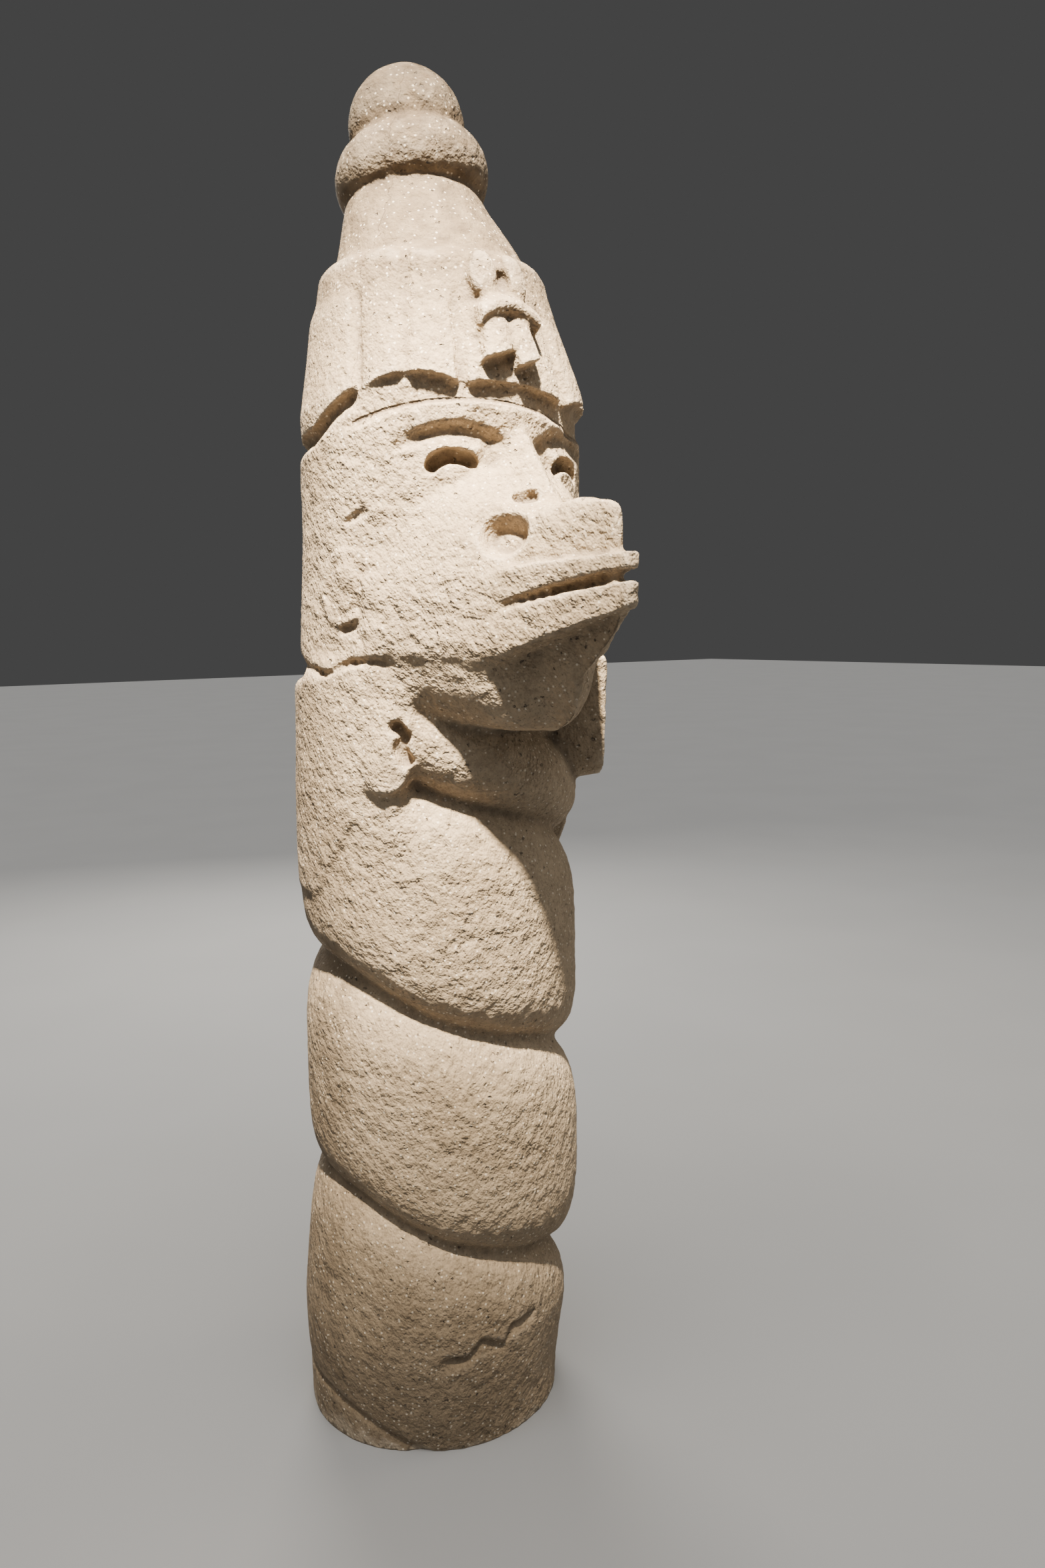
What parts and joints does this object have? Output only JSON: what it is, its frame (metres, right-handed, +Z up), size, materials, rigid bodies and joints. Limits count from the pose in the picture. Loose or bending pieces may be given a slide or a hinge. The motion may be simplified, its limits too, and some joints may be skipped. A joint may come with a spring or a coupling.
{
  "type": "stone deity sculpture",
  "caption": "Tall carved stone figure: a coiled column with a beaked mask, hanging ear pendants, a pleated knotted crown and a leaning knobbed conical hat.",
  "frame": {"origin": "middle of the column on the flat underside that the stone stands on", "axes": "+Z up the column, the beak points along -Y, the figure's right side is towards -X"},
  "size_m": [0.5026, 0.7766, 2.282],
  "materials": {
    "volcanic_stone": "matte, porous and pecked"
  },
  "bodies": {
    "root": {"deity_sculpture": "volcanic_stone"}
  },
  "joints": []
}
